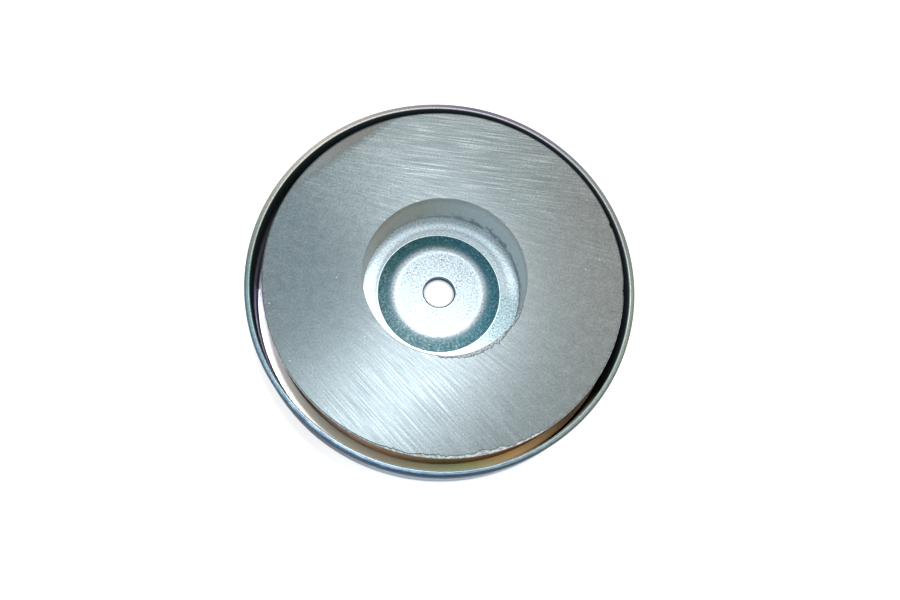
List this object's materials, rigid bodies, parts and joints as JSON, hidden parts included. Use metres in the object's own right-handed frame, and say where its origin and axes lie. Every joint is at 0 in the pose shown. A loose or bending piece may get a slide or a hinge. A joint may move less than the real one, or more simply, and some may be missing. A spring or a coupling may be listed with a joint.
{
  "type": "round magnet",
  "caption": "Round-base magnet: a flat ferrite ring, face up, in a shallow plated steel cup with a raised centre boss and a screw hole.",
  "frame": {"origin": "middle of the cup's back, on the surface that the part lies on", "axes": "+Z out of the working face along the cup's axis, +X and +Y towards the side where the ring lies closest to the wall"},
  "size_m": [0.081, 0.081, 0.012],
  "materials": {
    "plated_steel": "bright zinc plating with a faint blue and yellow passivation tint, satin",
    "ground_ferrite": "ground face with fine curved grinding lines, unground matte bore and side"
  },
  "bodies": {
    "root": {"steel_cup": "plated_steel", "ring_magnet": "ground_ferrite"}
  },
  "joints": []
}
